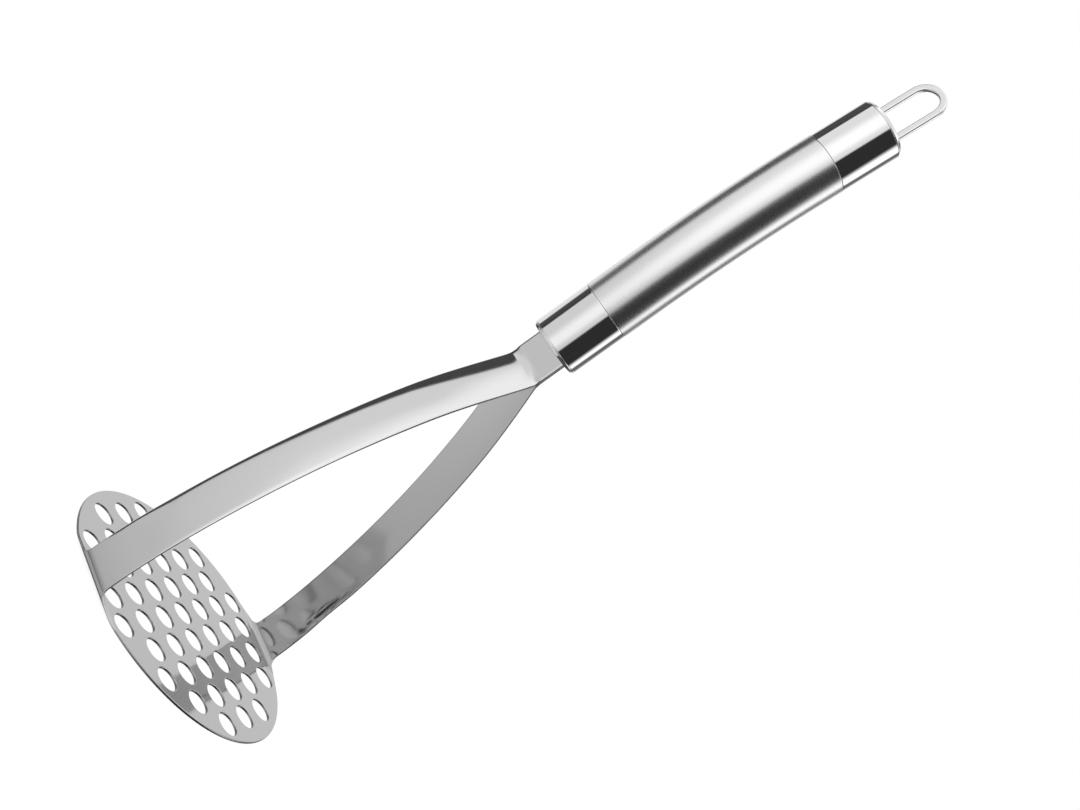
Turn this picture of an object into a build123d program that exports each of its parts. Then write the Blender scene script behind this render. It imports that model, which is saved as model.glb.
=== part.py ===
from build123d import *
import os
from math import acos, cos, degrees, radians, sin, sqrt

# Potato masher in stainless steel: a pressed head on a hollow handle.
# Millimetres. The origin is the centre of the disc's underside, +Z runs up to the handle,
# and +X runs from one strap to the other, towards the side to which the handle bends.

os.makedirs("parts", exist_ok=True)

# Pressed head: the disc
sheet = 0.8
disc_diameter = 91.2
hole_diameter = 7.8
hole_pitch = 10.0  # along a column of holes, in Y
column_pitch = 12.2  # from column to column, in X
hole_margin = 1.2  # least metal between a hole and the rim or a fold

# Pressed head: the straps, measured on the face that looks outward
strap_width = 14.6
flare_width = 1.7  # by which each edge of a strap stands out at its fold
flare_height = 4.0  # up to where the edges run straight
fold_inner_radius = 1.2
lower_radius = 145.0
lower_turn = 9.5  # degrees
upper_radius = 269.0
neck_radius = 6.0
tang_gap = 0.3  # between the two tangs
tang_show = 7.4  # straight tang below the handle
tang_depth = 14.0  # tang inside the handle
tang_corner = 2.0
tang_side_gap = 0.8  # between a tang's edge and the joint sleeve around it

# Handle
handle_diameter = 19.3
tube_wall = 0.8
collar_length = 19.5
collar_rim_chamfer = 0.6
grip_lead = 11.5  # straight part of the grip before its bend
bend_radius = 458.0
bend_turn = 7.5  # degrees
grip_tail = 5.9  # straight part of the grip after its bend
cap_length = 20.4
cap_wall = 1.2
cap_rim_chamfer = 1.3
groove_depth = 0.25  # chamfer at both ends of the grip

# Inside the handle
fit_clearance = 0.05
plug_recess = 0.5
plug_length = 8.6
sleeve_wall = 0.7
sleeve_reach = 5.0  # into the grip, at both of its ends
rear_sleeve_depth = 9.0  # into the rear cap

# Hanging loop of flat wire
wire_width = 2.2
wire_thickness = 1.5
wire_edge_chamfer = 0.25
loop_inset = 3.2  # from the outside of the handle in to the outside of the loop
loop_reach = 21.0  # from the cap to the tip
foot_gap = 0.4  # from the end of a foot to the wall of the cap
foot_bend_radius = 0.6

# Sizes that follow: the handle's radii
handle_radius = handle_diameter / 2
bore_radius = handle_radius - tube_wall
insert_radius = bore_radius - fit_clearance

# Sizes that follow: the head, whose folds are chords of the disc's outline
disc_radius = disc_diameter / 2
flare_half_width = strap_width / 2 + flare_width
fold_reach = sqrt(disc_radius**2 - flare_half_width**2)
fold_outer_radius = fold_inner_radius + sheet
fold_start = fold_reach - fold_outer_radius
hole_reach = disc_radius - hole_margin - hole_diameter / 2
side_columns = int((fold_start - hole_margin - hole_diameter / 2) / column_pitch)
tang_outer = tang_gap / 2 + sheet
tang_half_width = insert_radius - sleeve_wall - tang_side_gap
lean_at_neck = degrees(
    acos(
        (
            tang_outer
            - fold_reach
            + lower_radius * (1 - cos(radians(lower_turn)))
            + upper_radius * cos(radians(lower_turn))
            + neck_radius
        )
        / (upper_radius + neck_radius)
    )
)
neck_height = (
    fold_outer_radius
    + lower_radius * sin(radians(lower_turn))
    + upper_radius * (sin(radians(lean_at_neck)) - sin(radians(lower_turn)))
    + neck_radius * sin(radians(lean_at_neck))
)
neck_foot = neck_height - neck_radius * sin(radians(lean_at_neck))

# Sizes that follow: heights along the handle
handle_front = neck_height + tang_show
grip_front = handle_front + collar_length
tang_top = handle_front + tang_depth
plug_back = handle_front + plug_recess + plug_length

# The handle's axis, which is straight at both ends and an arc between them
rear_direction = (sin(radians(bend_turn)), 0, cos(radians(bend_turn)))
rear_across = (cos(radians(bend_turn)), 0, -sin(radians(bend_turn)))
bend_end_x = bend_radius * (1 - cos(radians(bend_turn)))
bend_end_z = grip_front + grip_lead + bend_radius * sin(radians(bend_turn))


def rear_plane(distance):
    """Plane square to the handle's axis, at a distance past the end of its bend."""
    return Plane(
        origin=(
            bend_end_x + distance * rear_direction[0],
            0,
            bend_end_z + distance * rear_direction[2],
        ),
        x_dir=rear_across,
        z_dir=rear_direction,
    )


cap_joint = rear_plane(grip_tail)
cap_end = rear_plane(grip_tail + cap_length)
loop_plane = Plane(origin=cap_end.origin, x_dir=(0, 1, 0), z_dir=rear_across)
rear_axis = Axis(cap_joint.origin, rear_direction)

# Pressed head: one blank, with both straps folded up and their tangs back to back
with BuildPart() as masher_head:
    with BuildSketch(Plane.XZ) as strap_side:
        with BuildLine():
            plate = Line((0, 0), (fold_start, 0))
            fold = JernArc(plate @ 1, plate % 1, fold_outer_radius, 90)
            lower = JernArc(fold @ 1, fold % 1, lower_radius, lower_turn)
            upper = JernArc(lower @ 1, lower % 1, upper_radius, lean_at_neck - lower_turn)
            neck = JernArc(upper @ 1, upper % 1, neck_radius, -lean_at_neck)
            Line(neck @ 1, (tang_outer, tang_top))
            offset(amount=sheet, side=Side.LEFT)
        make_face()
    extrude(amount=flare_half_width, both=True)
    # Seen along X the strap flares out at its foot, fits the handle from the neck up,
    # and ends in rounded corners
    with BuildSketch(Plane.YZ) as strap_front:
        with BuildLine():
            foot = Line((0, 0), (flare_half_width, 0))
            flare = TangentArc((strap_width / 2, flare_height), foot @ 1, tangent=(0, -1))
            side = Line(flare @ 0, (strap_width / 2, neck_foot))
            shoulder = Line(side @ 1, (tang_half_width, neck_height))
            tang = Line(shoulder @ 1, (tang_half_width, tang_top - tang_corner))
            corner = JernArc(tang @ 1, (0, 1), tang_corner, 90)
            Line(corner @ 1, (0, tang_top))
            mirror(about=Plane.YZ)
        make_face()
    extrude(amount=disc_radius, both=True, mode=Mode.INTERSECT)
    mirror(about=Plane.YZ)
    with BuildSketch() as disc_face:
        Circle(disc_radius)
        with GridLocations(fold_start + disc_radius, 0, 2, 1):
            Rectangle(disc_radius - fold_start, 2 * flare_half_width, mode=Mode.SUBTRACT)
    extrude(amount=sheet)
    # Staggered columns of holes: odd counts and even counts take turns
    with BuildSketch() as hole_pattern:
        for column in range(-side_columns, side_columns + 1):
            column_x = column * column_pitch
            room = int(2 * sqrt(hole_reach**2 - column_x**2) / hole_pitch) + 1
            holes = room - (room + column + 1) % 2
            with Locations((column_x, 0)):
                with GridLocations(0, hole_pitch, 1, holes):
                    Circle(hole_diameter / 2)
    extrude(amount=sheet, mode=Mode.SUBTRACT)
masher_head.part.label = "masher_head"
export_step(masher_head.part, "parts/masher_head.step")

# Front collar: an open sleeve with an eased front rim
with BuildPart() as front_collar:
    with BuildSketch(Plane.XY.offset(handle_front)):
        Circle(handle_radius)
    extrude(amount=collar_length)
    chamfer(front_collar.edges().sort_by(Axis.Z)[0], collar_rim_chamfer)
    with BuildSketch(Plane.XY.offset(handle_front)):
        Circle(bore_radius)
    extrude(amount=collar_length, mode=Mode.SUBTRACT)
front_collar.part.label = "front_collar"
export_step(front_collar.part, "parts/front_collar.step")

# Front plug: closes the mouth of the collar and holds the two tangs in its slot
with BuildPart() as front_plug:
    with BuildSketch(Plane.XY.offset(handle_front + plug_recess)):
        Circle(insert_radius)
    extrude(amount=plug_length)
    with BuildSketch(Plane.XY.offset(handle_front)):
        Rectangle(2 * (tang_outer + fit_clearance), 2 * (tang_half_width + fit_clearance))
    extrude(amount=plug_recess + plug_length, mode=Mode.SUBTRACT)
front_plug.part.label = "front_plug"
export_step(front_plug.part, "parts/front_plug.step")

# Front joint sleeve: butts on the plug and joins the collar and the grip from inside
with BuildPart() as front_joint_sleeve:
    with BuildSketch(Plane.XY.offset(plug_back)):
        Circle(insert_radius)
        Circle(insert_radius - sleeve_wall, mode=Mode.SUBTRACT)
    extrude(amount=grip_front + sleeve_reach - plug_back)
front_joint_sleeve.part.label = "front_joint_sleeve"
export_step(front_joint_sleeve.part, "parts/front_joint_sleeve.step")

# Grip tube: straight, bent and straight again, chamfered at both ends for the grooves
with BuildPart() as grip_tube:
    with BuildLine(Plane.XZ) as grip_axis:
        lead = Line((0, grip_front), (0, grip_front + grip_lead))
        bend = JernArc(lead @ 1, (0, 1), bend_radius, -bend_turn)
        Line(bend @ 1, (cap_joint.origin.X, cap_joint.origin.Z))
    with BuildSketch(Plane.XY.offset(grip_front)):
        Circle(handle_radius)
    sweep()
    chamfer(grip_tube.edges().sort_by(Axis.Z)[0], groove_depth)
    chamfer(grip_tube.faces().sort_by(Axis.Z)[-1].edges(), groove_depth)
    with BuildSketch(Plane.XY.offset(grip_front)):
        Circle(bore_radius)
    sweep(path=grip_axis.wire(), mode=Mode.SUBTRACT)
grip_tube.part.label = "grip_tube"
export_step(grip_tube.part, "parts/grip_tube.step")

# Rear joint sleeve: joins the grip and the rear cap from inside
with BuildPart() as rear_joint_sleeve:
    with BuildSketch(rear_plane(grip_tail - sleeve_reach)):
        Circle(insert_radius)
        Circle(insert_radius - sleeve_wall, mode=Mode.SUBTRACT)
    extrude(amount=sleeve_reach + rear_sleeve_depth)
rear_joint_sleeve.part.label = "rear_joint_sleeve"
export_step(rear_joint_sleeve.part, "parts/rear_joint_sleeve.step")

# Rear end cap: a closed cup with an eased rim and a slot for each leg of the loop
leg_offset = handle_radius - loop_inset - wire_width / 2
with BuildPart() as rear_end_cap:
    with BuildSketch(cap_joint):
        Circle(handle_radius)
    extrude(amount=cap_length)
    chamfer(rear_end_cap.edges().sort_by(rear_axis)[-1], cap_rim_chamfer)
    with BuildSketch(cap_joint):
        Circle(bore_radius)
    extrude(amount=cap_length - cap_wall, mode=Mode.SUBTRACT)
    with BuildSketch(cap_end):
        with GridLocations(0, 2 * leg_offset, 1, 2):
            Rectangle(wire_thickness + 2 * fit_clearance, wire_width + 2 * fit_clearance)
    extrude(amount=-cap_wall, mode=Mode.SUBTRACT)
rear_end_cap.part.label = "rear_end_cap"
export_step(rear_end_cap.part, "parts/rear_end_cap.step")

# Hanging loop: one flat wire, its two feet turned outward behind the wall of the cap
foot_turn_radius = foot_bend_radius + wire_width / 2
foot_depth = cap_wall + foot_turn_radius
bow_height = loop_reach - wire_width / 2 - leg_offset
with BuildPart() as hanging_loop:
    with BuildSketch(loop_plane):
        with BuildLine():
            foot_tip = (bore_radius - foot_gap, -foot_depth)
            foot = Line(foot_tip, (leg_offset + foot_turn_radius, -foot_depth))
            turn = JernArc(foot @ 1, (-1, 0), foot_turn_radius, -90)
            leg = Line(turn @ 1, (leg_offset, bow_height))
            JernArc(leg @ 1, (0, 1), leg_offset, 90)
        trace(line_width=wire_width)
        mirror(about=Plane.YZ)
    extrude(amount=wire_thickness / 2, both=True)
    wire_faces = hanging_loop.faces().sort_by(Axis(cap_end.origin, rear_across))
    chamfer(wire_faces[0].edges() + wire_faces[-1].edges(), wire_edge_chamfer)
hanging_loop.part.label = "hanging_loop"
export_step(hanging_loop.part, "parts/hanging_loop.step")
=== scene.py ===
"""Potato masher in stainless steel: a pressed head of mirror-polished sheet on a slim handle
with polished ends and a satin grip. Lengths in this script are millimetres and turn to
metres when a mesh or a material is made. Only the lamp and the camera are placed in metres."""
from math import acos, asin, cos, pi, radians, sin, sqrt

import bmesh
import bpy
import numpy as np
from mathutils import Matrix, Vector
from mathutils.geometry import delaunay_2d_cdt


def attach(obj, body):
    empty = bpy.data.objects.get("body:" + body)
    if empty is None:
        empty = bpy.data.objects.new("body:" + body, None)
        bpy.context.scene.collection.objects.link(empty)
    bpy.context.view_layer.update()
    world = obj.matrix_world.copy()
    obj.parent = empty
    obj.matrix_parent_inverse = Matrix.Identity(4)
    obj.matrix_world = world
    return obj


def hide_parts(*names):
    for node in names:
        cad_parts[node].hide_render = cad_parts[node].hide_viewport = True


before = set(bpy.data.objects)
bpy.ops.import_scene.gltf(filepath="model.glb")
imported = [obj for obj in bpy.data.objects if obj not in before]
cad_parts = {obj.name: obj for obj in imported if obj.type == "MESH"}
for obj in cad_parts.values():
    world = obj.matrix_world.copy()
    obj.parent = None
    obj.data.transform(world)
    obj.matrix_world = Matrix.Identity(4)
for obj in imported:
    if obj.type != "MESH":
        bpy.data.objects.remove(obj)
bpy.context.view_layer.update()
MM = 0.001
# Points nearer than this are one point, and a shorter side is none, both in metres
same_point = 1e-6
no_side = 1e-7

# Sizes of the pressed head
sheet = 0.8
disc_radius = 45.6
hole_radius = 3.9
hole_pitch = 10.0
column_pitch = 12.2
hole_margin = 1.2
strap_half_width = 7.3
flare_width = 1.7
fold_radius = 2.8
root_fillet = 3.0
strap_foot = 2.0
lower_radius = 145.0
lower_turn = radians(9.5)
upper_radius = 269.0
neck_radius = 6.0
tang_outer = 0.95
tang_show = 7.4
tang_depth = 14.0
tang_corner = 2.0
tang_side_gap = 0.8
shoulder_drop = 4.5
edge_round = 0.26
inner_edge_round = 0.52
crown_radius_low = 38.0
crown_radius_high = 18.0
edge_roll = 0.12
edge_roll_width = 0.9
far_crown_share = 0.4
dent_height = 27.0
dent_length = 7.5
dent_depth = 0.7
# The dent deepens between these distances from the strap's middle
dent_edge = (3.7, 6.2)

# Heights between which the straps' section changes
inner_round_grows = (4.0, 12.0)
edge_roll_grows = (6.0, 16.0)
crown_begins = (16.0, 32.0)
crown_tightens = (30.0, 94.0)
crown_evens_out = (60.0, 105.0)
# The crown is flatter on one half: it has this share of the other half's bow low on the strap,
# and so much more at the top
flat_half_share = 0.42
flat_half_gain = 0.33

# Sizes of the handle
handle_radius = 9.65
bore_radius = 8.85
fit_clearance = 0.05
sleeve_wall = 0.7
collar_length = 19.5
grip_lead = 11.5
bend_radius = 458.0
bend_turn = radians(7.5)
grip_tail = 5.9
cap_length = 20.4
cap_wall = 1.2
bead_length = 0.9
bead_slope = 0.5
bead_flat = 0.1
cap_bead_length = 1.1
cap_bead_slope = 0.72
groove_depth = 0.13
groove_half_width = 0.17
groove_round = 0.06
joint_round = 0.3
faint_round = 0.08

# Sizes of the hanging loop
wire_width = 2.2
wire_thickness = 1.5
wire_round = 0.5
loop_inset = 3.2
loop_reach = 21.0
foot_gap = 0.4
foot_turn_radius = 0.6 + wire_width / 2

# Sizes that follow. The lower arc is upright at strap_foot above the table, its centre's height
strap_reach = sqrt(disc_radius**2 - (strap_half_width + flare_width)**2)
lean = acos((tang_outer - strap_reach + lower_radius * (1 - cos(lower_turn))
             + upper_radius * cos(lower_turn) + neck_radius) / (upper_radius + neck_radius))
neck_height = (strap_foot + lower_radius * sin(lower_turn)
               + upper_radius * (sin(lean) - sin(lower_turn)) + neck_radius * sin(lean))
# The fold meets the lower arc a little way up it, where both have the same slope
fold_end = asin((fold_radius - strap_foot) / (lower_radius - fold_radius))
fold_start = strap_reach - lower_radius * (1 - cos(fold_end)) - fold_radius * cos(fold_end)
fillet_x = sqrt((disc_radius + root_fillet)**2 - (strap_half_width + root_fillet)**2)
fillet_y = strap_half_width + root_fillet
tang_half_width = bore_radius - fit_clearance - sleeve_wall - tang_side_gap
level_ends = (100.0, neck_height - 2.5)
crown_ends = (neck_height - 4.0, neck_height - 0.3)
handle_front = neck_height + tang_show
tang_top = handle_front + tang_depth
bend_length = bend_radius * bend_turn
cap_joint = collar_length + grip_lead + bend_length + grip_tail
cap_end = cap_joint + cap_length
leg_offset = handle_radius - loop_inset - wire_width / 2


def steps(low, high, spacing):
    """Evenly spaced numbers from low to high, both included, about spacing apart."""
    return np.linspace(low, high, max(2, int(round(abs(high - low) / spacing)) + 1))


def ease(value, start, end):
    """0 before start, 1 after end, and the smooth step 3t^2 - 2t^3 between them."""
    t = np.clip((np.asarray(value, float) - start) / (end - start), 0, 1)
    return t * t * (3 - 2 * t)


def rounded(corners, arc_steps=5, support=0.05):
    """Closed outline through corners of (across, along, radius), each eased by an arc of its
    radius: the arc starts and ends radius / tan(half the corner's angle) from the corner, and
    a support point just outside each end keeps the flats beside it flat."""
    corners, rounds = np.split(np.asarray(corners, float), [2], axis=1)
    outline = []
    for i, (point, radius) in enumerate(zip(corners, rounds[:, 0])):
        to_last = corners[i - 1] - point
        to_next = corners[(i + 1) % len(corners)] - point
        to_last /= np.hypot(*to_last)
        to_next /= np.hypot(*to_next)
        if radius <= 0:
            outline.append(point[None])
            continue
        half = np.arccos(np.clip(to_last @ to_next, -1, 1)) / 2
        reach = radius / np.tan(half)
        inward = to_last + to_next
        centre = point + inward / np.hypot(*inward) * radius / np.sin(half)
        a, b = point + to_last * reach - centre, point + to_next * reach - centre
        turn = np.arctan2(a[0] * b[1] - a[1] * b[0], a @ b) * np.linspace(0, 1, arc_steps + 1)
        arc = centre + np.stack([a[0] * np.cos(turn) - a[1] * np.sin(turn),
                                 a[0] * np.sin(turn) + a[1] * np.cos(turn)], 1)
        outline += [(point + to_last * (reach + support))[None], arc,
                    (point + to_next * (reach + support))[None]]
    return np.concatenate(outline)


def grid_quads(rows, columns, wrap_rows=False, wrap_columns=False):
    """Corner numbers of the squares of a grid with rows x columns points, row by row."""
    i = np.arange(rows if wrap_rows else rows - 1)[:, None]
    j = np.arange(columns if wrap_columns else columns - 1)[None]
    i2, j2 = (i + 1) % rows, (j + 1) % columns
    return np.stack([i * columns + j, i * columns + j2, i2 * columns + j2, i2 * columns + j],
                    -1).reshape(-1, 4)


def make_piece(name, node, materials, surfaces, sharp=50):
    """One object from surfaces of (points in mm, faces, number of the material). Points that
    coincide are merged, so the pieces of a shell close, and edges that turn by more than
    the sharp angle stay crisp."""
    points = np.concatenate([s[0] for s in surfaces]) * MM
    start, faces, numbers = 0, [], []
    for own_points, own_faces, number in surfaces:
        faces += (np.asarray(own_faces) + start).tolist()
        numbers += [number] * len(own_faces)
        start += len(own_points)
    mesh = bpy.data.meshes.new(name)
    mesh.from_pydata(points.tolist(), [], faces)
    mesh.polygons.foreach_set("material_index", numbers)
    work = bmesh.new()
    work.from_mesh(mesh)
    bmesh.ops.remove_doubles(work, verts=work.verts, dist=same_point)
    bmesh.ops.dissolve_degenerate(work, dist=no_side, edges=work.edges)
    bmesh.ops.recalc_face_normals(work, faces=work.faces)
    work.to_mesh(mesh)
    work.free()
    mesh.polygons.foreach_set("use_smooth", [True] * len(mesh.polygons))
    mesh.set_sharp_from_angle(angle=radians(sharp))
    for material in materials:
        mesh.materials.append(material)
    piece = bpy.data.objects.new(name, mesh)
    bpy.context.scene.collection.objects.link(piece)
    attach(piece, "root")
    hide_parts(node)


# Materials

def linear(code):
    """Linear colour of an sRGB hex code: ((c + 0.055) / 1.055)^2.4 above 0.04, else c / 12.92."""
    c = np.array([int(code[i:i + 2], 16) for i in (1, 3, 5)]) / 255
    return (*np.where(c > 0.04045, ((c + 0.055) / 1.055)**2.4, c / 12.92), 1.0)


def add(tree, kind, settings=None, **links):
    """One node of a kind, with its settings, and its inputs set to values or linked to
    other nodes' outputs. Input names have _ for a space, and in0, in1 are by number."""
    node = tree.nodes.new(kind)
    for key, value in (settings or {}).items():
        setattr(node, key, value)
    for key, value in links.items():
        socket = node.inputs[int(key[2:]) if key[2:].isdigit() else key.replace("_", " ")]
        if isinstance(value, bpy.types.NodeSocket):
            tree.links.new(value, socket)
        else:
            socket.default_value = value
    return node


product = {"operation": "MULTIPLY"}
scaled_sum = {"operation": "MULTIPLY_ADD"}
smooth = {"interpolation_type": "SMOOTHSTEP"}
colour_mix = {"data_type": "RGBA"}

# Size of the wear spots in the polish, and the share of the wandering that is the grain's
wear_size = 9.0
grain_share = 0.7
# Where the skin of the folds begins: from the first to the second of these distances from
# the middle, and of these heights. There it is rougher by fold_roughness, and its colour is
# darkened as painted shade in the crease of the fold
fold_reach = (42.0, 43.2)
fold_height = (4.6, 1.2)
fold_roughness = 0.2


def steel(name, colour, rough, rough_spread, grain, grain_depth, wave_size, wave_depth,
          fold_shade_colour=None):
    """Stainless steel: a metal of one colour whose roughness wanders between rough and
    rough + rough_spread along its grain. grain is the grain's size in mm along X, Y and Z,
    grain_depth its depth, and the metal's slow waves are wave_size wide and wave_depth deep.
    With a colour for the painted fold shade, the skin is duller where the sheet is bent up at the
    disc, outside fold_reach and below fold_height, and its colour there turns to that darker grey:
    painted shade in the crease of the fold."""
    material = bpy.data.materials.new(name)
    material.use_nodes = True
    tree = material.node_tree
    tree.nodes.clear()
    place = add(tree, "ShaderNodeTexCoord").outputs["Object"]
    stretched = add(tree, "ShaderNodeMapping", Vector=place,
                    Scale=[1 / (MM * size) for size in grain]).outputs[0]
    lines = add(tree, "ShaderNodeTexNoise", Vector=stretched, Scale=1.0, Detail=3.0,
                Roughness=0.6).outputs["Fac"]
    wear = add(tree, "ShaderNodeTexNoise", Vector=place, Scale=1 / (MM * wear_size),
               Detail=2.0).outputs["Fac"]
    waves = add(tree, "ShaderNodeTexNoise", Vector=place, Scale=1 / (MM * wave_size),
                Detail=1.0).outputs["Fac"]
    worn = add(tree, "ShaderNodeMath", product, in0=wear, in1=1 - grain_share).outputs[0]
    mixed = add(tree, "ShaderNodeMath", scaled_sum, in0=lines, in1=grain_share,
                in2=worn).outputs[0]
    roughness = add(tree, "ShaderNodeMapRange", Value=mixed, From_Min=0.3, From_Max=0.7,
                    To_Min=rough, To_Max=rough + rough_spread).outputs[0]
    base = linear(colour)
    if fold_shade_colour:
        at = add(tree, "ShaderNodeSeparateXYZ", Vector=place)
        out = add(tree, "ShaderNodeMath", {"operation": "ABSOLUTE"},
                  in0=at.outputs["X"]).outputs[0]
        outside = add(tree, "ShaderNodeMapRange", smooth, Value=out,
                      From_Min=fold_reach[0] * MM, From_Max=fold_reach[1] * MM).outputs[0]
        low = add(tree, "ShaderNodeMapRange", smooth, Value=at.outputs["Z"],
                  From_Min=fold_height[0] * MM, From_Max=fold_height[1] * MM).outputs[0]
        # This mask darkens the base colour as painted shade in the crease where the sheet bends up
        # from the disc, and makes the skin there rougher
        painted_fold_shade = add(tree, "ShaderNodeMath", product, in0=outside, in1=low).outputs[0]
        base = add(tree, "ShaderNodeMix", colour_mix, Factor=painted_fold_shade, in6=base,
                   in7=linear(fold_shade_colour)).outputs[2]
        roughness = add(tree, "ShaderNodeMath", scaled_sum, in0=painted_fold_shade, in1=fold_roughness,
                        in2=roughness).outputs[0]
    slow = add(tree, "ShaderNodeBump", Height=waves, Strength=1.0, Distance=wave_depth * MM)
    fine = add(tree, "ShaderNodeBump", Height=lines, Strength=1.0, Distance=grain_depth * MM,
               Normal=slow.outputs[0])
    shader = add(tree, "ShaderNodeBsdfPrincipled", Base_Color=base, Metallic=1.0,
                 Roughness=roughness, Normal=fine.outputs[0])
    add(tree, "ShaderNodeOutputMaterial", Surface=shader.outputs[0])
    return material


# Stainless sheet, mirror polished on the side that faces outward: crisp reflections, faint
# polishing lines and the slow waves that pressing leaves in thin sheet. Its last colour is painted
# shade, a darker grey in the crease of the folds
polished_sheet = steel("mirror_polished_stainless_sheet", "#BDBDBD", 0.08, 0.06,
                       (3.0, 0.5, 3.0), 0.0005, 13.0, 0.010, "#A4A4A4")
# The sheet's other side, bright cold-rolled: a darker, slightly grainy mirror, with the same
# painted shade in the folds
rolled_side = steel("cold_rolled_stainless_sheet", "#B3B3B3", 0.065, 0.07,
                    (0.5, 0.5, 0.5), 0.0016, 10.0, 0.014, "#9E9E9E")
# Sheared stainless edge: the punched walls of the holes and the cut rim, a dull dark grey
sheared_edge = steel("sheared_stainless_edge", "#8E8E8E", 0.24, 0.14,
                     (0.5, 0.5, 0.3), 0.003, 5.0, 0.004)
# The straps' sheared edges, tumbled smooth: a dull mirror
strap_edge = steel("sheared_and_tumbled_stainless_edge", "#A8A8A8", 0.30, 0.10,
                   (0.5, 0.5, 0.5), 0.003, 5.0, 0.004)
# Stainless tube, mirror polished on a wheel: the sharpest reflections on the masher
mirror_tube = steel("mirror_polished_stainless_tube", "#CBCBCB", 0.05, 0.04,
                    (4.0, 4.0, 0.4), 0.0003, 14.0, 0.003)
# Stainless tube with a satin belt finish: the same reflections, softly blurred
satin_tube = steel("satin_stainless_tube", "#CDCDCD", 0.26, 0.03,
                   (4.0, 4.0, 0.3), 0.0002, 14.0, 0.003)
# Stainless flat wire, drawn and lightly polished: a soft, even shine
flat_wire = steel("polished_stainless_wire", "#CCCCCC", 0.20, 0.06,
                  (2.0, 2.0, 2.0), 0.0008, 8.0, 0.006)
# Turned stainless: the plug and sleeves inside the handle, with fine tool rings
turned_steel = steel("turned_stainless", "#BFBFBF", 0.24, 0.12,
                     (3.0, 3.0, 0.25), 0.003, 10.0, 0.002)


# The pressed head: where its straps run and how their section is made

def strap_path():
    """Outer face of the +X strap, seen along Y: fold, lower arc, upper arc, neck arc, tang.
    An arc's point is its centre plus radius times (cos, sin) of the angle. Gives x, z, the
    outward normal's angle, and the length run so far."""
    fold = np.concatenate([np.linspace(-pi / 2, -pi / 4, 19),
                           np.linspace(-pi / 4, fold_end, 17)[1:]])
    x = [fold_start + fold_radius * np.cos(fold)]
    z = [fold_radius + fold_radius * np.sin(fold)]
    angle = [fold]
    for radius, first, last, spacing in ((lower_radius, fold_end, lower_turn, 1.0),
                                         (upper_radius, lower_turn, lean, 1.6)):
        turn = steps(first, last, spacing / radius)[1:]
        start = np.array([x[-1][-1], z[-1][-1]])
        centre = start - radius * np.array([cos(first), sin(first)])
        x.append(centre[0] + radius * np.cos(turn))
        z.append(centre[1] + radius * np.sin(turn))
        angle.append(turn)
    turn = np.linspace(lean, 0, 15)[1:]
    start = np.array([x[-1][-1], z[-1][-1]])
    centre = start + neck_radius * np.array([cos(lean), sin(lean)])
    x.append(centre[0] - neck_radius * np.cos(turn))
    z.append(centre[1] - neck_radius * np.sin(turn))
    angle.append(turn)
    corner = tang_top - tang_corner
    rise = np.concatenate([steps(neck_height, corner, 1.0)[1:],
                           corner + tang_corner * np.sin(np.linspace(0, pi / 2, 9)[1:])])
    x.append(np.full(len(rise), tang_outer))
    z.append(rise)
    angle.append(np.zeros(len(rise)))
    x, z, angle = (np.concatenate(v) for v in (x, z, angle))
    run = np.concatenate([[0], np.cumsum(np.hypot(np.diff(x), np.diff(z)))])
    return x, z, angle, run


def blank_half_width(reach, inset):
    """Half the flat blank's width at a distance from the disc's centre, drawn in by inset:
    the rim sqrt(R^2 - x^2), then a hollow fillet that touches the rim and the strap's edge,
    then the strap's straight edge."""
    rim, fillet = disc_radius - inset, root_fillet + inset
    touch = fillet_x * rim / (disc_radius + root_fillet)
    on_rim = np.sqrt(np.clip(rim**2 - np.minimum(reach, touch)**2, 0, None))
    on_fillet = fillet_y - np.sqrt(fillet**2 - (fillet_x - np.clip(reach, touch, fillet_x))**2)
    beyond_rim = np.where(reach < fillet_x, on_fillet, strap_half_width - inset)
    return np.where(reach <= touch, on_rim, beyond_rim)


# Shares of the half width, where the flat faces have points: closer near the edges
across = np.sin(np.linspace(-pi / 2, pi / 2, 25))
quarter = np.linspace(0, pi / 2, 4)
# The eased edge from a flat face to the cut wall: (in-set, depth) with a support point first
flat_inset = 1.15 * edge_round
eased_edge = [(flat_inset, 0.0)] + [(edge_round * (1 - sin(a)), edge_round * (1 - cos(a)))
                                    for a in quarter]


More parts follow.
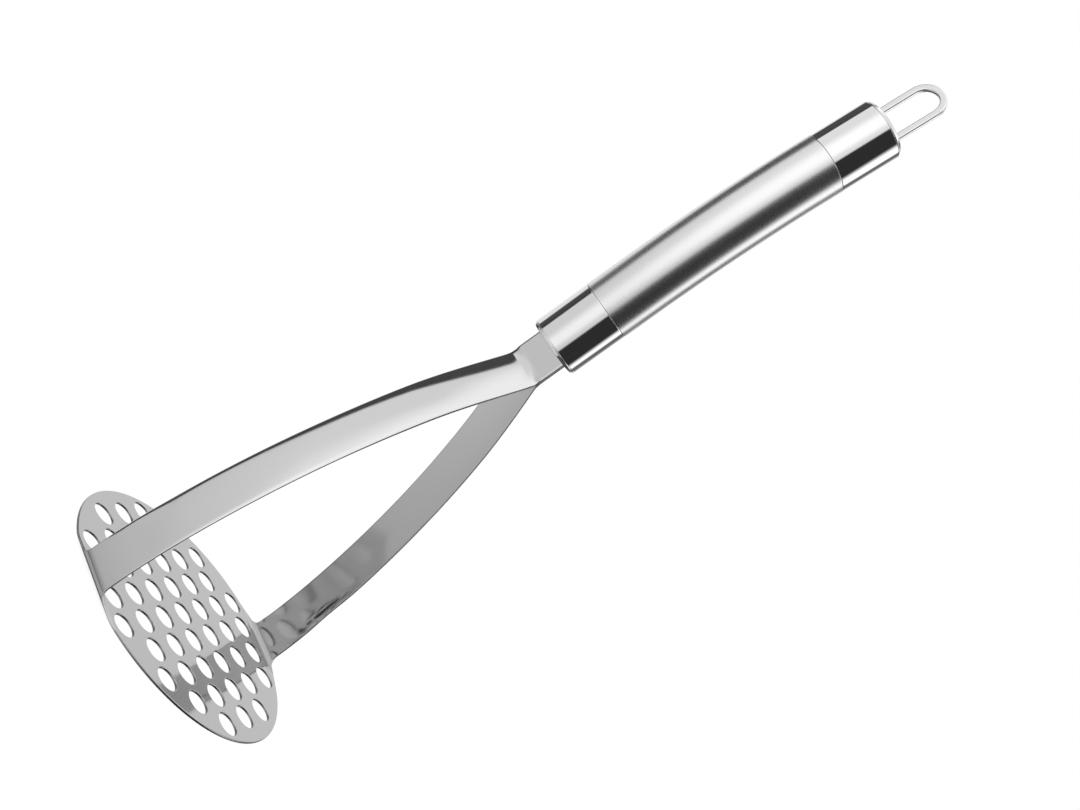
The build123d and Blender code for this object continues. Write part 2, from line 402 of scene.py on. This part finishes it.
def strap_surface(side):
    """Closed section carried along the strap's path. The section is the sheet's thickness
    deep, its half width follows the blank, the shoulder and the tang's corners, and its
    edges are eased, the inner ones more than the outer ones. It is crowned across its width:
    a point stands out by (c b^2 - m y^2) k / 2 for the strap's half width b and curvature k,
    which grows from the foot up to the neck, is nothing in the tang and is less on the +X
    strap. m is 1 on the -Y half and less on the other, and c, the middle of 1 and m, keeps
    the edges about level with the sheet and fades to nothing below the neck. The outer face
    also rolls down at its edges by edge_roll t^2, over their last edge_roll_width, and the
    inner face doesn't. The +X strap has a dent above its fold: its -Y edge is pressed inward
    by dent_depth exp(-((z - dent_height) / dent_length)^2), in a smooth step. side is 1 for
    the +X strap and -1 for the -X strap, which is turned half round the Z axis."""
    x, z, angle, run = strap_path()
    shoulder = ease(z, neck_height - shoulder_drop, neck_height)
    narrower = (strap_half_width - tang_half_width) * shoulder
    into_corner = np.clip(z - (tang_top - tang_corner), 0, tang_corner)
    narrower += tang_corner - np.sqrt(tang_corner**2 - into_corner**2)
    curvature = ease(z, *crown_begins) / crown_radius_low
    curvature += ease(z, *crown_tightens) * (1 / crown_radius_high - 1 / crown_radius_low)
    curvature *= 1 - ease(z, *crown_ends)
    curvature *= far_crown_share if side > 0 else 1
    # The section's columns run once round it: the outer face, the +Y edge, the inner face and
    # the -Y edge, each with a share of the half width, an in-set and a depth
    edge_inset, edge_depth = np.array(eased_edge)[1:].T
    face, wall = np.ones(len(across)), np.ones(2 * len(edge_inset))
    share = np.concatenate([across, wall, across[::-1], -wall])
    inset = np.tile(np.concatenate([flat_inset * face, edge_inset, edge_inset[::-1]]), 2)
    depth = np.concatenate([0 * face, edge_depth, sheet - edge_depth[::-1],
                            sheet * face, sheet - edge_depth, edge_depth[::-1]])
    inner = depth > sheet / 2
    inner_growth = (inner_edge_round / edge_round - 1) * ease(z, *inner_round_grows)[:, None]
    growth = 1 + np.where(inner, inner_growth, 0)
    inset = inset * growth
    depth = np.where(inner, sheet - (sheet - depth) * growth, depth)
    y = share * (blank_half_width(fold_start + run[:, None], inset) - narrower[:, None])
    flatter = flat_half_share + flat_half_gain * ease(z, *crown_evens_out)
    level = (1 + flatter) / 2 * (1 - ease(z, *level_ends))
    bow = np.where(y < 0, 1, flatter[:, None]) * y**2
    crown = 0.5 * curvature[:, None] * (level[:, None] * strap_half_width**2 - bow)
    # On the eased edge t is more than 1
    half_width = np.abs(y[:, :1])
    rolled_down = np.clip((np.abs(y) - half_width + edge_roll_width) / edge_roll_width, 0, 1.2)**2
    rolled_down *= edge_roll * ease(z, *edge_roll_grows)[:, None] * (1 - depth / sheet)
    out = crown - depth - rolled_down
    if side > 0:
        pressed = ease(-y, *dent_edge)
        out -= dent_depth * pressed * np.exp(-((z[:, None] - dent_height) / dent_length)**2)
    points = np.stack([side * (x[:, None] + out * np.cos(angle)[:, None]), side * y,
                       z[:, None] + out * np.sin(angle)[:, None]], -1)
    rows, columns = y.shape
    quads = grid_quads(rows, columns, wrap_columns=True)
    # The cut walls start and end one square inside the eased edges
    column = np.arange(len(quads)) % columns - len(face) - 1
    wall_squares, half_round = len(wall) - 3, columns // 2
    cut_wall = column % half_round < wall_squares
    inside = (column >= wall_squares) & (column < half_round)
    end = [(rows - 1) * columns + np.arange(columns)]
    flat = points.reshape(-1, 3)
    return [(flat, quads[~cut_wall & ~inside], 0), (flat, quads[cut_wall], 3),
            (flat, quads[inside], 2), (flat, end, 3)]


def holes():
    """Centres of the holes, in columns along X with evenly spaced holes along Y: odd and even
    counts take turns, and each column has as many as fit inside the margin."""
    reach = disc_radius - hole_margin - hole_radius
    side_columns = int((fold_start - hole_margin - hole_radius) / column_pitch)
    centres = []
    for column in range(-side_columns, side_columns + 1):
        room = int(2 * sqrt(reach**2 - (column * column_pitch)**2) / hole_pitch) + 1
        count = room - (room + column + 1) % 2
        centres += [(column * column_pitch, (i - (count - 1) / 2) * hole_pitch)
                    for i in range(count)]
    return np.array(centres)


def rim_arc(inset):
    """The disc's rim at +Y, from the +X fold to the -X fold, drawn in by inset."""
    corner = np.arctan2(blank_half_width(fold_start, inset), fold_start)
    turn = np.linspace(corner, pi - corner, 111)
    return (disc_radius - inset) * np.stack([np.cos(turn), np.sin(turn)], 1)


def wall_rows(ring_of):
    """Points of a cut wall with eased edges, from the top face down to the underside, and its
    numbers of rows and columns: ring_of(in-set) makes one row for each step of the edge."""
    down = [(inset, sheet - depth) for inset, depth in eased_edge]
    wall = down + [(inset, sheet - height) for inset, height in down[::-1]]
    rings = []
    for inset, height in wall:
        ring = ring_of(inset)
        rings.append(np.column_stack([ring, np.full(len(ring), height)]))
    return np.concatenate(rings), len(wall), len(rings[0])


def wall_surfaces(points, rows, columns, closed):
    """The wall's three surfaces: the top face's easing, the cut wall and the underside's
    easing. Each face keeps its own skin on the first two rows of squares."""
    quads = grid_quads(rows, columns, wrap_columns=closed)
    row = np.arange(len(quads)) // (columns if closed else columns - 1)
    top, underside = row < 2, row >= rows - 3
    return [(points, quads[top], 2), (points, quads[~top & ~underside], 1),
            (points, quads[underside], 0)]


def disc_surfaces():
    """The perforated disc: a flat top and underside, triangulated between the outline and
    the circles of the holes, and walls with eased edges that join them."""
    surfaces = []
    for half in (1, -1):
        points, rows, columns = wall_rows(rim_arc)
        surfaces += wall_surfaces(points * [half, half, 1], rows, columns, False)
    centres = holes()
    turn = np.linspace(0, 2 * pi, 49)[:-1]
    circle = np.stack([np.cos(turn), np.sin(turn)], 1)
    for centre in centres:
        points, rows, columns = wall_rows(lambda inset: centre + (hole_radius + inset) * circle)
        surfaces += wall_surfaces(points, rows, columns, True)
    fold_line = np.stack([np.full(len(across), fold_start),
                          blank_half_width(fold_start, flat_inset) * across], 1)
    outline = np.concatenate([rim_arc(flat_inset), -fold_line[1:-1]])
    outline = np.concatenate([outline, -outline])
    # A line just inside each fold, a little shorter than it, keeps the disc flat there
    support = fold_line * [1, 0.996] - [0.06, 0]
    flat_hole = hole_radius + flat_inset
    loops = [outline] + [centre + flat_hole * circle for centre in centres]
    lines = [support, -support]
    points = np.concatenate(loops + lines)
    edges, start = [], 0
    for loop in loops:
        edges += [(start + i, start + (i + 1) % len(loop)) for i in range(len(loop))]
        start += len(loop)
    for line in lines:
        edges += [(start + i, start + i + 1) for i in range(len(line) - 1)]
        start += len(line)
    tiny = 1e-5
    made = delaunay_2d_cdt([Vector(p) for p in points.tolist()], edges, [], 0, tiny)
    flat, faces = np.array([tuple(v) for v in made[0]]), np.array(made[2])
    middle = flat[faces].mean(1)
    from_centre = np.hypot(*(flat[faces][:, :, None] - centres).transpose(3, 0, 1, 2))
    in_hole = (from_centre < flat_hole + 10 * tiny).all(1).any(1)
    # A point is inside the outline if a line from it towards +Y crosses the outline an odd
    # number of times
    one, two = outline, np.roll(outline, -1, 0)
    spans = (one[:, 0] > middle[:, :1]) != (two[:, 0] > middle[:, :1])
    along, rising = two[:, 0] - one[:, 0], two[:, 1] - one[:, 1]
    with np.errstate(divide="ignore", invalid="ignore"):
        crossing = one[:, 1] + (middle[:, :1] - one[:, 0]) * rising / along
    inside = (spans & (crossing > middle[:, 1:])).sum(1) % 2 == 1
    faces = faces[~in_hole & inside]
    top, underside = (np.column_stack([flat, np.full(len(flat), height)]) for height in (sheet, 0))
    return surfaces + [(top, faces, 2), (underside, faces[:, ::-1], 0)]


make_piece("pressed_head", "masher_head",
           [polished_sheet, sheared_edge, rolled_side, strap_edge],
           disc_surfaces() + strap_surface(1) + strap_surface(-1))


# The handle: every tube is an outline carried round the handle's bent axis

def handle_place(distance):
    """Where the handle's axis is, and which way its X side looks, at distances along it
    from the front end: straight up, then an arc towards +X, then straight again."""
    straight = collar_length + grip_lead
    turn = np.clip((distance - straight) / bend_radius, 0, bend_turn)
    after = np.clip(distance - straight - bend_length, 0, None)
    before = np.minimum(distance, straight)
    x = bend_radius * (1 - np.cos(turn)) + after * np.sin(turn)
    z = handle_front + before + bend_radius * np.sin(turn) + after * np.cos(turn)
    return x, z, turn


def tube_surface(outline, around=128):
    """A closed outline of (radius, distance along the handle) carried round the handle's
    axis: x and z are the axis's plus radius times cos(angle) across it, and y is radius
    times sin(angle)."""
    radius, distance = np.asarray(outline, float).T
    x, z, turn = (v[:, None] for v in handle_place(distance))
    angle = np.linspace(0, 2 * pi, around + 1)[None, :-1]
    radius = radius[:, None]
    points = np.stack([x + radius * np.cos(angle) * np.cos(turn), radius * np.sin(angle) + 0 * x,
                       z - radius * np.cos(angle) * np.sin(turn)], -1)
    return points.reshape(-1, 3), grid_quads(len(radius), around, True, True), 0


def with_steps(outline, spacing):
    """The closed outline with points added, so that no side is longer than spacing."""
    outline = np.asarray(outline, float)
    sides = []
    for a, b in zip(outline, np.roll(outline, -1, 0)):
        parts = max(1, int(np.ceil(np.hypot(*(b - a)) / spacing)))
        sides.append(a + (b - a) * np.linspace(0, 1, parts + 1)[:-1, None])
    return np.concatenate(sides)


# The corners of each tube's outline are (radius, distance along the handle, rounding). At a
# joint the tube in front is rounded, which shows as a light line, and the one behind it faintly.
# The collar's front edge is a narrow bead before a fine groove
collar_outline = [(bore_radius, 0, 0.1),
                  (handle_radius - bead_slope, 0, 0.25),
                  (handle_radius, bead_length - bead_flat, 0.3),
                  (handle_radius, bead_length, 0),
                  (handle_radius - groove_depth, bead_length + groove_half_width, 0),
                  (handle_radius, bead_length + 2 * groove_half_width, groove_round),
                  (handle_radius, collar_length, joint_round),
                  (bore_radius, collar_length, 0)]
make_piece("polished_front_collar", "front_collar", [mirror_tube],
           [tube_surface(rounded(collar_outline, arc_steps=6, support=0.01))])

# The grip is bent, so its outline has a point at least every 2 mm
grip_outline = [(bore_radius, collar_length, 0),
                (handle_radius, collar_length, faint_round),
                (handle_radius, cap_joint, joint_round),
                (bore_radius, cap_joint, 0)]
make_piece("satin_grip_tube", "grip_tube", [satin_tube],
           [tube_surface(with_steps(rounded(grip_outline), spacing=2.0))])

# The cap's rear edge is the same bead, a little wider, and its end is closed
cap_bead = cap_end - cap_bead_length
cap_outline = [(bore_radius, cap_joint, 0),
               (handle_radius, cap_joint, faint_round),
               (handle_radius, cap_bead - 2 * groove_half_width, groove_round),
               (handle_radius - groove_depth, cap_bead - groove_half_width, 0),
               (handle_radius, cap_bead, 0.2),
               (handle_radius - cap_bead_slope, cap_end, 0.4),
               (0.0, cap_end, 0),
               (0.0, cap_end - cap_wall, 0),
               (bore_radius, cap_end - cap_wall, 0.3)]
make_piece("polished_rear_cap", "rear_end_cap", [mirror_tube],
           [tube_surface(rounded(cap_outline, arc_steps=8, support=0.01))])


# The hanging loop: a flat wire, carried along its line

def loop_surface():
    """The wire's eased section carried along its line in the plane across the handle's
    bend: a foot turned outward inside the cap, a leg, half a circle and the same back."""
    bow = loop_reach - wire_width / 2 - leg_offset
    depth = cap_wall + foot_turn_radius
    foot = np.linspace(-pi / 2, -pi, 9)
    leg = np.linspace(-depth + foot_turn_radius, bow, 14)[1:-1]
    bend = np.linspace(0, pi / 2, 25)
    # Half the line: u across the cap, v out of it, and heading the angle that it runs at
    u = np.concatenate([[bore_radius - foot_gap],
                        leg_offset + foot_turn_radius + foot_turn_radius * np.cos(foot),
                        np.full(len(leg), leg_offset),
                        leg_offset * np.cos(bend)])
    v = np.concatenate([[-depth],
                        -depth + foot_turn_radius + foot_turn_radius * np.sin(foot),
                        leg,
                        bow + leg_offset * np.sin(bend)])
    heading = np.concatenate([[pi], foot - pi / 2, np.full(len(leg), pi / 2), bend + pi / 2])
    u, v = np.concatenate([u, -u[-2::-1]]), np.concatenate([v, v[-2::-1]])
    heading = np.concatenate([heading, 2 * pi - heading[-2::-1]])
    a, b = wire_width / 2, wire_thickness / 2
    section = rounded([(-a, -b, wire_round), (a, -b, wire_round),
                       (a, b, wire_round), (-a, b, wire_round)])
    wide, thick = section.T[:, None]
    y = u[:, None] + wide * np.sin(heading)[:, None]
    up = v[:, None] - wide * np.cos(heading)[:, None]
    x0, z0, turn = handle_place(np.array([cap_end]))
    points = np.stack([x0 + up * np.sin(turn) + thick * np.cos(turn), y,
                       z0 + up * np.cos(turn) - thick * np.sin(turn)], -1)
    rows, columns = y.shape
    ends = [np.arange(columns), (rows - 1) * columns + np.arange(columns)]
    flat = points.reshape(-1, 3)
    return [(flat, grid_quads(rows, columns, wrap_columns=True), 0), (flat, ends, 0)]


make_piece("flat_wire_loop", "hanging_loop", [flat_wire], loop_surface())

# The pieces inside the handle keep their own solids
for name in ("front_plug", "front_joint_sleeve", "rear_joint_sleeve"):
    inner_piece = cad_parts[name]
    inner_piece.data.materials.clear()
    inner_piece.data.materials.append(turned_steel)


# The studio: a white room whose dark flags give the steel its bands

def wall(tree, turn, rise, low, high, brightness, growth=0.0):
    """The light of one wall of the room for a direction: its brightness between two compass
    angles, each given as (angle, lean, soft): the edge moves by lean degrees for each degree
    of rise and is soft degrees wide. growth is the share it brightens by for each degree."""
    edges = []
    for (angle, lean, soft), ends in ((low, (0.0, 1.0)), (high, (1.0, 0.0))):
        leaned = add(tree, "ShaderNodeMath", scaled_sum, in0=rise, in1=-lean, in2=turn).outputs[0]
        edges.append(add(tree, "ShaderNodeMapRange", smooth, Value=leaned,
                         From_Min=angle - soft / 2, From_Max=angle + soft / 2,
                         To_Min=ends[0], To_Max=ends[1]).outputs[0])
    level = add(tree, "ShaderNodeMath", scaled_sum, in0=rise, in1=growth * brightness,
                in2=brightness).outputs[0]
    between = add(tree, "ShaderNodeMath", product, in0=edges[0], in1=edges[1]).outputs[0]
    return add(tree, "ShaderNodeMath", product, in0=between, in1=level).outputs[0]


world = bpy.data.worlds.new("white_studio")
bpy.context.scene.world = world
world.use_nodes = True
tree = world.node_tree
tree.nodes.clear()
ray = add(tree, "ShaderNodeLightPath")
direction = add(tree, "ShaderNodeTexCoord").outputs["Generated"]
# Compass angles are in degrees from +X towards +Y. They run from -95 to 265, and so start again
# on the dark side of the room, because the direction is turned before its angle is taken and
# the angle is turned back
compass_turn = 85.0
turned = add(tree, "ShaderNodeVectorRotate", {"rotation_type": "Z_AXIS"}, Vector=direction,
             Angle=radians(-compass_turn))
axis = add(tree, "ShaderNodeSeparateXYZ", Vector=turned.outputs[0])
around = add(tree, "ShaderNodeMath", {"operation": "ARCTAN2"}, in0=axis.outputs["Y"],
             in1=axis.outputs["X"]).outputs[0]
turn = add(tree, "ShaderNodeMath", scaled_sum, in0=around, in1=180 / pi,
           in2=compass_turn).outputs[0]
height = add(tree, "ShaderNodeMath", {"operation": "ARCSINE"}, in0=axis.outputs["Z"]).outputs[0]
rise = add(tree, "ShaderNodeMath", product, in0=height, in1=180 / pi).outputs[0]
# Above the handle the walls' edges stand upright and their light stays the same
wall_rise = add(tree, "ShaderNodeMath", {"operation": "MINIMUM"}, in0=rise, in1=16.0).outputs[0]
# The window in the left wall is a little dimmer at its top
window = wall(tree, turn, wall_rise, (173, -0.8, 34), (214, -0.3, 24), 0.44, 0.008)
window_top = add(tree, "ShaderNodeMapRange", smooth, Value=rise, From_Min=18.0, From_Max=32.0,
                 To_Min=1.0, To_Max=0.9).outputs[0]
# The far wall fades out to the right, is a little dimmer above the handle and ends above the
# floor
far_wall = wall(tree, turn, wall_rise, (5, 0.0, 34), (90, -1.5, 10), 1.12)
far_head = add(tree, "ShaderNodeMapRange", smooth, Value=rise, From_Min=13.0, From_Max=18.0,
               To_Min=1.0, To_Max=0.87).outputs[0]
far_foot = add(tree, "ShaderNodeMapRange", smooth, Value=rise, From_Min=-17.0, From_Max=-25.0,
               To_Min=1.0, To_Max=0.02).outputs[0]
far_wall = add(tree, "ShaderNodeMath", product, in0=far_wall, in1=far_head).outputs[0]
walls = [
    # The wide wall to the left, with its window
    wall(tree, turn, wall_rise, (124.5, -0.72, 5), (231, -0.2, 8), 1.0, 0.0105),
    add(tree, "ShaderNodeMath", product, in0=window, in1=window_top).outputs[0],
    # The narrow strip light to the right
    wall(tree, turn, wall_rise, (-54, -0.45, 20), (-31, 0.35, 12), 1.75),
    # The far wall
    add(tree, "ShaderNodeMath", product, in0=far_wall, in1=far_foot).outputs[0],
    # The dim gap between the strip light and the far wall
    wall(tree, turn, wall_rise, (-36, -0.1, 14), (12, 0.0, 20), 0.16),
    # The dim corner between the far wall and the left wall
    wall(tree, turn, wall_rise, (80, -1.0, 16), (120, -0.5, 34), 0.06),
]
# What the dark parts of the room still give
light = 0.04
for wall_light in walls:
    light = add(tree, "ShaderNodeMath", {"operation": "ADD"}, in0=wall_light,
                in1=light).outputs[0]
# A low dark flag stands on the table's edge, on the side of the camera
beside_flag = add(tree, "ShaderNodeMapRange", smooth, Value=turn, From_Min=196.0,
                  From_Max=212.0, To_Min=1.0, To_Max=0.05).outputs[0]
flag_top = add(tree, "ShaderNodeMapRange", smooth, Value=rise, From_Min=-12.0,
               From_Max=-6.0).outputs[0]
past_flag = add(tree, "ShaderNodeMath", {"operation": "MAXIMUM"}, in0=beside_flag,
                in1=flag_top).outputs[0]
light = add(tree, "ShaderNodeMath", product, in0=light, in1=past_flag).outputs[0]
# The ceiling is brightest where it meets the walls
to_ceiling = add(tree, "ShaderNodeMapRange", smooth, Value=rise, From_Min=40.0,
                 From_Max=56.0).outputs[0]
ceiling = add(tree, "ShaderNodeMapRange", Value=rise, From_Min=56.0, From_Max=78.0,
              To_Min=1.65, To_Max=1.2).outputs[0]
under_ceiling = add(tree, "ShaderNodeMix", colour_mix, Factor=to_ceiling, in6=light, in7=ceiling)
# The table brightens towards the masher's foot and ends to the right
to_table = add(tree, "ShaderNodeMapRange", smooth, Value=rise, From_Min=-31.0,
               From_Max=-38.0).outputs[0]
table_light = add(tree, "ShaderNodeMapRange", Value=rise, From_Min=-36.0, From_Max=-60.0,
                  To_Min=0.71, To_Max=0.98).outputs[0]
table_end = add(tree, "ShaderNodeMapRange", smooth, Value=turn, From_Min=74.0, From_Max=98.0,
                To_Min=0.12, To_Max=1.0).outputs[0]
table = add(tree, "ShaderNodeMath", product, in0=table_light, in1=table_end).outputs[0]
mirrored = add(tree, "ShaderNodeMix", colour_mix, Factor=to_table,
               in6=under_ceiling.outputs[2], in7=table)
# Reflections show that room, matt surfaces are lit evenly, and the camera sees plain white
soft_light = add(tree, "ShaderNodeMapRange", Value=axis.outputs["Z"], From_Min=-0.2,
                 From_Max=1.0, To_Min=0.6, To_Max=1.15).outputs[0]
lighting = add(tree, "ShaderNodeMix", colour_mix, Factor=ray.outputs["Is Glossy Ray"],
               in6=soft_light, in7=mirrored.outputs[2])
seen = add(tree, "ShaderNodeMix", colour_mix, Factor=ray.outputs["Is Camera Ray"],
           in6=lighting.outputs[2], in7=(1, 1, 1, 1))
backdrop = add(tree, "ShaderNodeBackground", Color=seen.outputs[2], Strength=1.0)
add(tree, "ShaderNodeOutputWorld", Surface=backdrop.outputs[0])

# The floor: matt white paper with a fine grain, which glows a little to the camera so that it
# joins the white backdrop. Reflections show the table of the room instead of it
floor_reach = 3000.0
floor_mesh = bpy.data.meshes.new("floor")
floor_corners = np.array([(-1, -1, 0), (1, -1, 0), (1, 1, 0), (-1, 1, 0)]) * floor_reach * MM
floor_mesh.from_pydata(floor_corners.tolist(), [], [(0, 1, 2, 3)])
floor = bpy.data.objects.new("floor", floor_mesh)
bpy.context.scene.collection.objects.link(floor)
paper = bpy.data.materials.new("white_paper")
paper.use_nodes = True
tree = paper.node_tree
tree.nodes.clear()
paper_grain, paper_depth = 2.0, 0.1
place = add(tree, "ShaderNodeTexCoord").outputs["Object"]
grain = add(tree, "ShaderNodeTexNoise", Vector=place, Scale=1 / (MM * paper_grain),
            Detail=2.0).outputs["Fac"]
ray = add(tree, "ShaderNodeLightPath")
fibres = add(tree, "ShaderNodeBump", Height=grain, Strength=0.2, Distance=paper_depth * MM)
matt = add(tree, "ShaderNodeBsdfDiffuse", Color=linear("#F4F4F4"), Normal=fibres.outputs[0])
glow = add(tree, "ShaderNodeEmission", Color=(1, 1, 1, 1), Strength=1.03)
share = add(tree, "ShaderNodeMath", product, in0=ray.outputs["Is Camera Ray"], in1=0.85).outputs[0]
surface = add(tree, "ShaderNodeMixShader", in0=share, in1=matt.outputs[0], in2=glow.outputs[0])
add(tree, "ShaderNodeOutputMaterial", Surface=surface.outputs[0])
floor_mesh.materials.append(paper)
floor.visible_glossy = False

# A large soft lamp above, which no reflection shows
lamp_data = bpy.data.lights.new("soft_top_light", "AREA")
lamp_data.shape = "DISK"
lamp_data.size = 0.9
lamp_data.energy = 6.0
lamp = bpy.data.objects.new("soft_top_light", lamp_data)
lamp.location = (-0.35, 0.35, 1.1)
lamp_aim = Vector((0, 0, 0.12))
lamp.rotation_mode = "QUATERNION"
lamp.rotation_quaternion = (lamp_aim - lamp.location).to_track_quat("-Z", "Y")
lamp.visible_glossy = False
lamp.visible_camera = False
bpy.context.scene.collection.objects.link(lamp)

# The camera stands behind the -X strap, a little above the masher's middle, and is rolled so
# that the handle runs up to the right
camera_data = bpy.data.cameras.new("camera")
camera = bpy.data.objects.new("camera", camera_data)
bpy.context.scene.collection.objects.link(camera)
camera_data.sensor_fit = "HORIZONTAL"
camera_data.sensor_width = 36.0
camera_data.lens = 46.21
camera_data.shift_y = -0.0278
camera_data.clip_start = 0.01
camera_data.clip_end = 50.0
camera.location = (-0.3490, -0.2191, 0.1681)
camera_aim = Vector((0.0022, -0.0036, 0.1326))
camera_roll = radians(54.45)
camera.rotation_mode = "QUATERNION"
upright = (camera_aim - camera.location).to_track_quat("-Z", "Y")
camera.rotation_quaternion = upright @ Matrix.Rotation(camera_roll, 3, "Z").to_quaternion()
bpy.context.scene.camera = camera
bpy.context.scene.view_settings.view_transform = "Standard"
